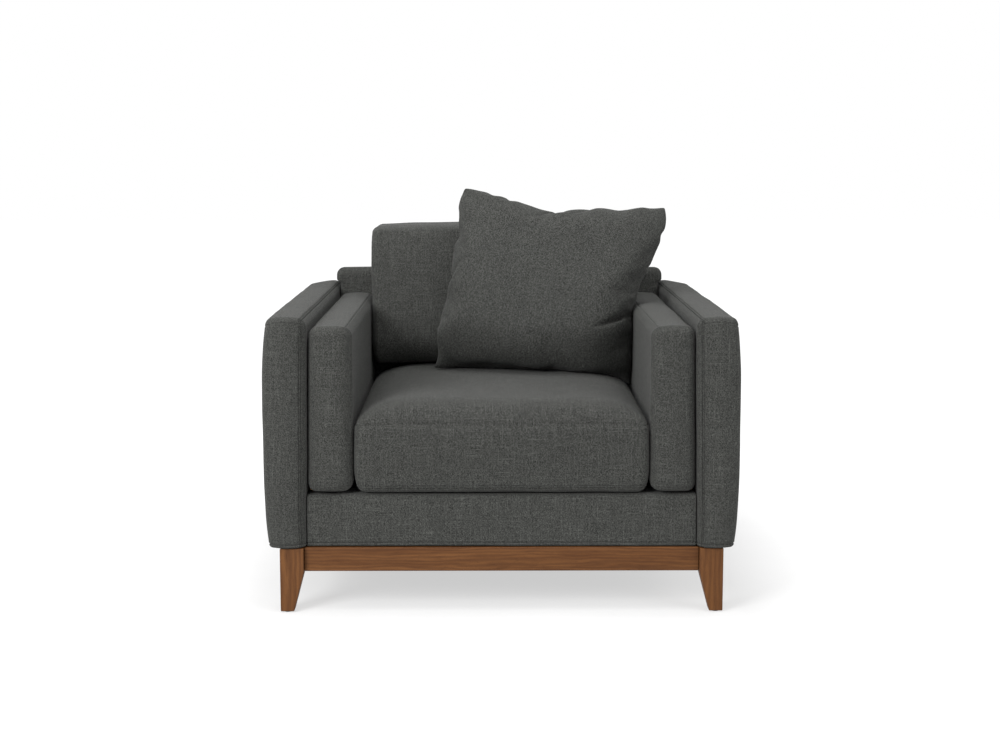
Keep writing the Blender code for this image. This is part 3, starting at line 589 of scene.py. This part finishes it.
def build_pad(side, sx, seed):
    seams = [
        seam(0, PAD_X + 0.0125, ("+z",), depth=0.0013, lip=0.0009),
        seam(1, deep(0.0135) + 0.012, ("-x", "+z", "-z"), depth=0.0008, width=0.0009),
    ]
    b = Block("pad_" + side, (PAD_X, deep(0.0135), PAD_Z), (0.3975, deep(BACK_FACE), PAD_TOP),
              (0.021, 0.018, 0.015, 0.012, 0.022, 0.017), step=0.012, seams=seams)
    b.shape(pad_shape)
    b.soften(amp=0.0009, freq=8.0, seed=seed).within((0.3042, None, None))
    if sx < 0:
        b.mirrored()
    ob = b.make(CLOTH_R if sx < 0 else CLOTH)
    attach(ob, "frame")
    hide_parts("pad_cover_" + side, "pad_foam_" + side, "pad_board_" + side)
    return ob


PADS = {side: build_pad(side, sx, seed) for side, sx, seed in (("left", -1, 2.9), ("right", 1, 6.4))}

# ------------------------------------------------------------------ upholstered front rail
def rail_shape(P):
    x, y, z = P.T
    half = arm_in(z) - 0.0003
    front = smooth((deep(0.04) - y) / 0.02) * 0.0016 * np.clip(1 - (np.abs(z - 0.19) / 0.055) ** 2, 0, 1)
    return np.stack([x / 0.4005 * half, y - front, z], 1)


b = Block("front_rail", (-0.4005, deep(0.0235), BODY_Z), (0.4005, deep(0.074), 0.2440),
          (0.003, 0.003, 0.010, 0.004, 0.003, 0.010), step=0.011,
          seams=[seam(2, 0.1430, ("-y",), depth=0.0018)])
b.shape(rail_shape).soften(amp=0.0010, freq=6.0, seed=4.0)
front_rail = b.make(CLOTH_RAIL)
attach(front_rail, "frame")
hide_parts("front_rail_cover")

# ------------------------------------------------------------------ back
BACK_HALF, BACK_EAR, BACK_TOP = 0.3925, 0.4022, 0.653


def back_shape(P):
    x, y, z = P.T
    ear = smooth((z - 0.6135) / 0.010)
    half = BACK_HALF - 0.0003 + (BACK_EAR - BACK_HALF) * ear
    v = (y - deep(BACK_FACE)) / (HALF_D - deep(BACK_FACE))
    f = back_face(z)
    yy = f + v * (HALF_D - f)
    drop = 0.010 * np.maximum(v, 0) ** 2 * np.maximum(z - 0.622, 0) / (BACK_TOP - 0.622)
    crown = 0.003 * (1 - (x / BACK_HALF) ** 2) * smooth((z - 0.6) / 0.05) - 0.003 * smooth((z - 0.6) / 0.05)
    return np.stack([x / BACK_HALF * half, yy, z - drop + crown], 1)


b = Block("back", (-BACK_HALF, deep(BACK_FACE), BODY_Z), (BACK_HALF, HALF_D, BACK_TOP + 0.0005),
          (0.016, 0.016, 0.018, 0.012, 0.005, 0.019), step=0.013,
          seams=[seam(0, -BACK_HALF + 0.012, ("+z", "+y"), depth=0.0012), seam(0, BACK_HALF - 0.012, ("+z", "+y"), depth=0.0012),
                 seam(1, HALF_D - 0.014, ("+z", "-x", "+x"), depth=0.0012)],
          extra=((), (), (0.6135, 0.616, 0.6185, 0.621, 0.6235, 0.608)))
b.shape(back_shape).soften(amp=0.0012, freq=6.0, seed=5.0)
back = b.make(CLOTH_RAIL)
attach(back, "frame")
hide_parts("back_cover", "back_foam")

# ------------------------------------------------------------------ seat cushion
SEAT_X, SEAT_LO, SEAT_F, SEAT_R = 0.3035, 0.2470, deep(0.0165), deep(0.738)
SEAT_BOX = 0.3900        # top of the boxing, where the crowned top panel starts
SEAT_CROWN = 0.0465


def rise(d, reach):
    """Quarter-round rise of the stuffed top, from its seam inwards."""
    t = np.clip(d / reach, 0, 1)
    return (1 - (1 - t) ** 2.2) ** 0.62


def front_rise(d):
    """The front of the top panel: steep above its seam, then rolling over."""
    t = np.clip((d - 0.0015) / 0.072, 0, 1)
    return (1 - (1 - t) ** 2.3) ** 0.46


def seat_shape(P):
    x, y, z = P.T
    side = rise(SEAT_X - np.abs(x), 0.135)
    front, rear = front_rise(y - SEAT_F), rise(SEAT_R - y, 0.16)
    k = smooth((z - (SEAT_BOX - 0.016)) / 0.016)
    zz = z + SEAT_CROWN * k * side * front * rear
    # the boxing is stuffed slightly proud between its seams
    belly = np.clip(1 - ((z - 0.32) / 0.075) ** 2, 0, 1)
    ny = smooth((SEAT_F + 0.03 - y) / 0.03)
    near = 0.35 + 0.65 * smooth((SEAT_F + 0.12 - y) / 0.12)
    draw = (0.0015 * smooth((z - 0.345) / 0.045) + 0.0060 * smooth((0.300 - z) / 0.052) ** 1.3) * near
    xx = x * (1 - draw / SEAT_X * smooth((np.abs(x) - 0.20) / 0.10))
    return np.stack([xx, y - 0.0030 * belly * ny, zz], 1)


SEAT_SEAMS = [
    seam(2, 0.3850, ("-x", "+x", "-y", "+y"), depth=0.0019, width=0.0012, lip=0.0004),
    seam(2, 0.2575, ("-x", "+x", "-y", "+y"), depth=0.0028, width=0.0013, lip=0.0006),
    seam(2, 0.2628, ("-x", "+x", "-y", "+y"), depth=0.0020, width=0.0010, lip=0.0),
]
b = Block("seat_cushion", (-SEAT_X, SEAT_F, SEAT_LO), (SEAT_X, SEAT_R, SEAT_BOX),
          (0.023, 0.023, 0.022, 0.022, 0.017, 0.010), step=0.012, seams=SEAT_SEAMS,
          extra=([-0.300, -0.296, -0.291, -0.286, 0.286, 0.291, 0.296, 0.300], [SEAT_F + d for d in (0.003, 0.007, 0.012, 0.018)], ()))
b.shape(seat_shape).soften(amp=0.0014, freq=7.0, seed=9.0)
b.within((-0.3036, None, SEAT_LO), (0.3036, None, None))
seat_cushion = b.make(CLOTH_SEAT)
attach(seat_cushion, "seat_cushion")
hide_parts("seat_cushion_cover", "seat_cushion_core", "seat_cushion_zip")

# ------------------------------------------------------------------ back cushion
BC_LO, BC_HI, BC_X = 0.4390, 0.7660, 0.3035
BC_REAR = back_face(0.4385) - 0.0025
BC_FRONT = BC_REAR - 0.1985


def backc_shape(P):
    x, y, z = P.T
    t = (z - BC_LO) / (BC_HI - BC_LO)
    # the ends bow out at mid height and the top corners are pulled in
    half = 1 + 0.021 * smooth((z - 0.597) / 0.05) - 0.030 * np.clip((t - 0.62) / 0.38, 0, 1) ** 2
    v = (y - BC_FRONT) / (BC_REAR - BC_FRONT)
    sx = 1 - np.abs(x / BC_X) ** 4
    bulge = 0.012 * sx * np.clip(1 - (2 * t - 0.95) ** 4, 0, 1)
    yy = y + (z - BC_LO) * RECLINE - bulge * (1 - v) + 0.010
    top = -0.006 * (np.abs(x) / BC_X) ** 3 * smooth((t - 0.8) / 0.2)
    return np.stack([x * half, yy - 0.010 * v, z + top], 1)


b = Block("back_cushion", (-BC_X, BC_FRONT, BC_LO), (BC_X, BC_REAR, BC_HI),
          (0.017, 0.017, 0.040, 0.026, 0.066, 0.013), step=0.013,
          seams=[seam(1, BC_FRONT + 0.030, ("-x", "+x", "+z", "-z"), depth=0.0018),
                 seam(1, BC_REAR - 0.020, ("-x", "+x", "+z", "-z"), depth=0.0018)])
b.shape(backc_shape).soften(amp=0.0022, freq=6.0, seed=12.0)
b.within((-0.3036, None, None), (0.3036, None, None))
back_cushion = b.make(CLOTH_BACK)
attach(back_cushion, "back_cushion")
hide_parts("back_cushion_cover", "back_cushion_fill", "back_cushion_zip")

# ------------------------------------------------------------------ throw pillow
CORNERS = {
    "TL": (-0.086, 0.132, 0.854), "TR": (0.380, 0.046, 0.816),
    "BL": (-0.162, 0.0445, 0.442), "BR": (0.293, -0.035, 0.411),
}
# how far each edge draws in between the corners, as (place along the edge, metres)
EDGE_IN = {
    "top": spline([-1, -0.62, -0.35, -0.08, 0.14, 0.43, 0.56, 0.765, 0.9, 1],
                  [0, 0.018, 0.031, 0.0430, 0.0325, 0.0242, 0.0252, 0.013, 0.008, 0]),
    "left": spline([-1, -0.94, -0.83, -0.71, -0.59, -0.425, -0.13, 0.015, 0.2, 0.38, 0.49, 0.64, 0.81, 1],
                   [0, 0.005, 0.009, 0.004, 0.000, 0.0035, 0.010, 0.011, 0.006, 0.007, 0.0105, 0.004, -0.003, 0]),
    "right": spline([-1, -0.8, -0.56, -0.28, -0.09, 0.024, 0.155, 0.32, 0.48, 0.68, 0.83, 1],
                    [0, 0.006, 0.012, 0.020, 0.026, 0.0255, 0.0215, 0.013, 0.0045, -0.003, -0.006, 0]),
    "bottom": spline([-1, -0.6, 0, 0.6, 1], [0, 0.004, 0.008, 0.006, 0]),
}
PILLOW_HALF_T = 0.069


def pillow_sheet(size, n):
    """Two square panels sewn at the edges, in their own plane, front at -Y."""
    half = size / 2
    pts, faces, uv, side = [], [], [], []
    index = {}

    def vid(i, j, s):
        edge = i in (0, n) or j in (0, n)
        key = (i, j, 0 if edge else s)
        if key not in index:
            index[key] = len(pts)
            x, z = -half + size * i / n, -half + size * j / n
            u, v = x / half, z / half
            y = 0.0 if edge else s * 0.010 * (1 - u ** 4) * (1 - v ** 4)
            pts.append((x, y, z))
            uv.append((u, v))
            side.append(0 if edge else s)
        return index[key]

    for i in range(n):
        for j in range(n):
            faces.append((vid(i, j, -1), vid(i + 1, j, -1), vid(i + 1, j + 1, -1), vid(i, j + 1, -1)))
            faces.append((vid(i, j, 1), vid(i, j + 1, 1), vid(i + 1, j + 1, 1), vid(i + 1, j, 1)))
    return np.array(pts), faces, np.array(uv), np.array(side)


PS, PN = 0.47, 64
pp, pf, puv, pside = pillow_sheet(PS, PN)
pp = cloth_fill(pp, pf, frames=15, pressure=6.0, stiffness=32.0, bending=0.15)
pp[:, 1] *= PILLOW_HALF_T / np.percentile(np.abs(pp[:, 1]), 99)

c3 = {k: np.array(v) for k, v in CORNERS.items()}
nrm = np.cross(c3["TR"] - c3["TL"] + c3["BR"] - c3["BL"], c3["TL"] - c3["BL"] + c3["TR"] - c3["BR"])
nrm = -nrm / np.linalg.norm(nrm)          # the side that faces back
ux = c3["TR"] - c3["TL"] + c3["BR"] - c3["BL"]
ux /= np.linalg.norm(ux)
uz = np.cross(ux, nrm)
mid3 = sum(c3.values()) / 4
pillow_place = Matrix([[ux[i], nrm[i], uz[i], mid3[i]] for i in range(3)] + [[0, 0, 0, 1]])


def coons(UV, bottom, top, left, right):
    """A plane patch from four edge curves, each a function of (-1..1) giving points."""
    u, v = UV.T
    a, b_ = ((u + 1) / 2)[:, None], ((v + 1) / 2)[:, None]
    e = np.ones(len(u))
    P = (1 - b_) * bottom(u) + b_ * top(u) + (1 - a) * left(v) + a * right(v)
    P -= (1 - a) * (1 - b_) * bottom(-e) + a * (1 - b_) * bottom(e) + (1 - a) * b_ * top(-e) + a * b_ * top(e)
    return P


def sheet_edge(P, UV, axis, at):
    """The sewn edge's own curve, smoothed, as a function of its place along it."""
    on = np.abs(UV[:, axis] - at) < 1e-6
    t = UV[on, 1 - axis]
    o = np.argsort(t)
    t, q = t[o], P[on][o][:, [0, 2]]
    k = np.ones(7) / 7
    sm = np.stack([np.convolve(np.pad(q[:, i], 3, mode="reflect", reflect_type="odd"), k, "valid") for i in range(2)], 1)
    sm[0], sm[-1] = q[0], q[-1]
    return lambda s: np.stack([np.interp(s, t, sm[:, 0]), np.interp(s, t, sm[:, 1])], 1)


flat = {k: np.array([np.dot(v - mid3, ux), np.dot(v - mid3, uz)]) for k, v in c3.items()}


def goal_edge(a, b_, inward, fall):
    A, B = flat[a], flat[b_]
    d = (B - A) / np.linalg.norm(B - A)
    nn = np.array([-d[1], d[0]]) * inward

    def f(s):
        s = np.asarray(s, float)
        # the corners are a little blunt
        blunt = 0.004 * (np.abs(s) ** 14)
        t = (s + 1) / 2
        return A[None] * (1 - t)[:, None] + B[None] * t[:, None] + nn[None] * (fall(s) + blunt)[:, None]
    return f


own = coons(puv, sheet_edge(pp, puv, 1, -1), sheet_edge(pp, puv, 1, 1), sheet_edge(pp, puv, 0, -1), sheet_edge(pp, puv, 0, 1))
goal = coons(puv, goal_edge("BL", "BR", 1, EDGE_IN["bottom"]), goal_edge("TL", "TR", -1, EDGE_IN["top"]),
             goal_edge("BL", "TL", -1, EDGE_IN["left"]), goal_edge("BR", "TR", 1, EDGE_IN["right"]))
dxz = (pp[:, [0, 2]] - own) * (1 - 0.85 * smooth((-0.72 - puv[:, 1]) / 0.24))[:, None]
pp[:, [0, 2]] = goal + dxz
# out of the plane: the four corners aren't quite in one plane
lift = {k: np.dot(v - mid3, nrm) for k, v in c3.items()}
au, av = (puv[:, 0] + 1) / 2, (puv[:, 1] + 1) / 2
base_y = (lift["BL"] * (1 - au) + lift["BR"] * au) * (1 - av) + (lift["TL"] * (1 - au) + lift["TR"] * au) * av


def fold(P, panel, a, b_, deep_, wide):
    """A crease in the cover from a to b (places on the panel, -1..1)."""
    a, b_ = np.array(a), np.array(b_)
    d = b_ - a
    t = np.clip(((panel[:, :2] - a) @ d) / (d @ d), 0, 1)
    dist = np.linalg.norm(panel[:, :2] - (a + t[:, None] * d), axis=1) * PS / 2
    k = np.exp(-(dist / wide) ** 2) * (0.25 + 0.75 * t)
    P[:, 1] += np.where(panel[:, 2] < 1e-4, k * deep_, 0)


# the cover lies smooth along the lower edge
gi = np.rint((puv[:, 0] + 1) / 2 * PN).astype(int)
gj = np.rint((puv[:, 1] + 1) / 2 * PN).astype(int)
front_half = pside <= 0
sheet_y = np.zeros((PN + 1, PN + 1))
sheet_y[gi[front_half], gj[front_half]] = pp[front_half, 1]
pad_y = np.pad(sheet_y, ((6, 6), (0, 0)), mode="edge")
even = sum(pad_y[i:i + PN + 1] for i in range(13)) / 13
blend = smooth((-0.35 - puv[:, 1]) / 0.35) * smooth((1 - np.abs(puv[:, 0])) / 0.14)
pp[:, 1] = np.where(front_half, pp[:, 1] * (1 - blend) + even[gi, gj] * blend, pp[:, 1])
pp[:, 1] = np.where(pside < 0, pp[:, 1] * (1 - 0.42 * puv[:, 1]), pp[:, 1])
pp[:, 1] += base_y
# the right-hand margin turns away and the lower edge tucks back
pp[:, 1] += 0.024 * smooth((puv[:, 0] - 0.50) / 0.50) * smooth((puv[:, 1] + 0.35) / 0.5)
pp[:, 1] += 0.046 * smooth((puv[:, 0] - 0.42) / 0.58) * smooth((0.02 - puv[:, 1]) / 0.35)
tuck = smooth((-0.33 - puv[:, 1]) / 0.67) * (1 - 0.75 * smooth((-0.70 - puv[:, 0]) / 0.30))
pp[:, 1] += 0.048 * tuck * (1 - 0.45 * smooth((puv[:, 0] - 0.4) / 0.5))
pp[:, 1] += 0.006 * tuck


def press_pillow(W):
    x, y, z = W.T.copy()
    # the arm pad's side and top
    lim = 0.3028 + np.maximum(z - 0.588, 0) * 1.4
    x = np.minimum(x, lim)
    # the back cushion's face
    rear = BC_FRONT + (z - BC_LO) * RECLINE - 0.0026
    y = np.where(z < BC_HI - 0.03, np.minimum(y, rear), y)
    # the seat
    sx = rise(SEAT_X - np.abs(x), 0.135)
    sf, sr = front_rise(y - SEAT_F), rise(SEAT_R - y, 0.16)
    top = SEAT_BOX + SEAT_CROWN * sx * sf * sr + 0.0020
    z = np.maximum(z, top)
    return np.stack([x, y, z], 1)


R3 = np.stack([ux, nrm, uz], 1)
W = press_pillow(pp @ R3.T + mid3)
L = (W - mid3) @ R3
me = bpy.data.meshes.new("throw_pillow")
me.from_pydata(L.tolist(), [], pf)
uvl = me.uv_layers.new(name="sheet")
fa = np.array(pf)
uvq = puv[fa] * PS / 2
uvq[..., 0] += np.where(pside[fa].max(1) > 0, 2.0, 0.0)[:, None]
uvl.data.foreach_set("uv", uvq.ravel())
at = me.attributes.new("panel", "FLOAT_VECTOR", "POINT")
at.data.foreach_set("vector", np.column_stack([puv, pside]).astype(float).ravel())
me.update()
me.shade_smooth()
throw_pillow = bpy.data.objects.new("throw_pillow", me)
scene.collection.objects.link(throw_pillow)
throw_pillow.matrix_world = pillow_place
me.materials.append(CLOTH_PILLOW)
bpy.context.view_layer.update()
sub = throw_pillow.modifiers.new("s", "SUBSURF")
sub.levels = sub.render_levels = 1
deps = bpy.context.evaluated_depsgraph_get()
me2 = bpy.data.meshes.new_from_object(throw_pillow.evaluated_get(deps))
throw_pillow.modifiers.clear()
throw_pillow.data = me2
# creases drawn on the finer sheet
L, panel = np.zeros(len(me2.vertices) * 3), np.zeros(len(me2.vertices) * 3)
me2.vertices.foreach_get("co", L)
me2.attributes["panel"].data.foreach_get("vector", panel)
L, panel = L.reshape(-1, 3), panel.reshape(-1, 3)
fold(L, panel, (0.53, -0.325), (0.72, -0.26), 0.014, 0.0048)
fold(L, panel, (0.62, -0.29), (1.0, -0.15), 0.027, 0.0080)
fold(L, panel, (0.76, -0.10), (1.0, 0.00), -0.013, 0.0085)
fold(L, panel, (0.66, -0.42), (0.98, -0.34), -0.004, 0.011)
fold(L, panel, (0.70, -0.60), (0.98, -0.44), 0.006, 0.012)
fold(L, panel, (-0.70, 0.76), (-0.97, 0.93), 0.006, 0.008)
fold(L, panel, (-0.16, 0.66), (-0.05, 0.99), 0.013, 0.014)
W = press_pillow(L @ R3.T + mid3)
L = (W - mid3) @ R3
me2.vertices.foreach_set("co", L.ravel())
me2.attributes.remove(me2.attributes["panel"])
me2.update()
me2.shade_smooth()
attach(throw_pillow, "throw_pillow")
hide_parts("throw_pillow_cover", "throw_pillow_insert", "throw_pillow_zip")

# ------------------------------------------------------------------ wood and hidden hardware
HARDWOOD = [wood_material("hardwood_%s" % a, i, 5.0 + i, (linear(150, 112, 72), linear(186, 150, 108), linear(208, 178, 138)), 0.6)
            for i, a in enumerate("xyz")]
PLY = wood_material("plywood", 1, 8.0, (linear(168, 132, 88), linear(200, 168, 122), linear(218, 190, 150)), 0.6)
STEEL = simple_material("zinc_steel", linear(120, 120, 122), linear(170, 170, 172), 900.0, 0.35, metal=1.0)
NYLON = simple_material("nylon_black", linear(22, 22, 22), linear(40, 40, 40), 1500.0, 0.45)
LINING = simple_material("lining_black", linear(18, 18, 19), linear(34, 34, 35), 1400.0, 0.95, bump=0.5)


def repaint(node, material):
    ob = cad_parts[node]
    ob.data.materials.clear()
    ob.data.materials.append(material)


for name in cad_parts:
    if name.startswith("leg_bolt") or name.startswith("seat_spring"):
        repaint(name, STEEL)
    elif name.startswith("leg_"):
        repaint(name, WOOD[2])
    elif name in ("base_rail_front", "base_rail_rear"):
        repaint(name, WOOD[0])
    elif name in ("base_rail_left", "base_rail_right"):
        repaint(name, WOOD[1])
    elif name.startswith("corner_block") or name in ("seat_rail_front", "seat_rail_rear", "back_top_rail", "back_lower_rail"):
        repaint(name, HARDWOOD[0])
    elif name in ("seat_rail_left", "seat_rail_right"):
        repaint(name, HARDWOOD[1])
    elif name.startswith("back_post"):
        repaint(name, HARDWOOD[2])
    elif name.startswith("arm_panel") or name.startswith("pad_board"):
        repaint(name, PLY)
    elif name.startswith("foot_glide"):
        repaint(name, NYLON)
    elif name in ("deck_pad", "dust_cover"):
        repaint(name, LINING)

# ------------------------------------------------------------------ floor, light, camera
bpy.ops.mesh.primitive_plane_add(size=24, location=(0, 4, 0))
floor = bpy.context.active_object
floor.name = "floor"
g = Graph("floor_painted_light")
tc = g.coords()
n = g.noise(tc.outputs["Object"], 3.0, 3.0, 0.5)
g.put(g.bsdf.inputs["Base Color"], g.mixrgb(g.remap(n, 0.3, 0.7), rgb(0.22, 0.22, 0.22), rgb(0.24, 0.24, 0.24)))
g.bsdf.inputs["Roughness"].default_value = 0.9
g.bsdf.inputs["Specular IOR Level"].default_value = 0.0
# painted light: the floor glows through its emission. It is dimmer near the chair's footprint, so shade stays there,
# and brighter away from it, so far shadows wash out
sep = g.node("ShaderNodeSeparateXYZ")
g.put(sep.inputs[0], tc.outputs["Object"])
away = g.math("MAXIMUM", g.math("SUBTRACT", g.math("ABSOLUTE", sep.outputs[0]), HALF_W),
              g.math("SUBTRACT", g.math("ABSOLUTE", g.math("ADD", sep.outputs[1], 4.0)), HALF_D))
glow = g.remap(away, 0.02, 0.34, 0.58, 0.83)
vec = g.node("ShaderNodeCombineXYZ")
for i in range(3):
    g.put(vec.inputs[i], glow)
g.put(g.bsdf.inputs["Emission Color"], vec.outputs[0])
g.bsdf.inputs["Emission Strength"].default_value = 1.0
floor.data.materials.append(g.mat)

world = bpy.data.worlds.new("studio")
scene.world = world
world.use_nodes = True
bg = world.node_tree.nodes["Background"]
bg.inputs[0].default_value = (1, 1, 1, 1)
bg.inputs[1].default_value = 1.0


def area(name, loc, target, size, power):
    d = bpy.data.lights.new(name, "AREA")
    d.shape = "RECTANGLE"
    d.size, d.size_y = size
    d.energy = power
    o = bpy.data.objects.new(name, d)
    o.location = loc
    o.rotation_euler = (Vector(target) - Vector(loc)).to_track_quat("-Z", "Y").to_euler()
    scene.collection.objects.link(o)
    return o


area("top_soft", (-0.3, -0.4, 3.4), (0, 0, 0.4), (2.6, 2.2), 94)
area("key_left", (-2.7, -3.5, 2.2), (0, 0, 0.45), (1.8, 1.8), 250)
area("fill_right", (3.0, -2.4, 1.8), (0, 0, 0.45), (2.0, 2.0), 55)

cam_data = bpy.data.cameras.new("camera")
cam_data.sensor_width = 36.0
cam_data.lens = 60.26
cam = bpy.data.objects.new("camera", cam_data)
cam.location = (-0.0268, -3.343 - HALF_D, 0.9695)
cam.rotation_euler = (math.radians(90 - 8.077), 0, -math.radians(0.394))
scene.collection.objects.link(cam)
scene.camera = cam
scene.view_settings.view_transform = "Standard"
scene.view_settings.look = "None"
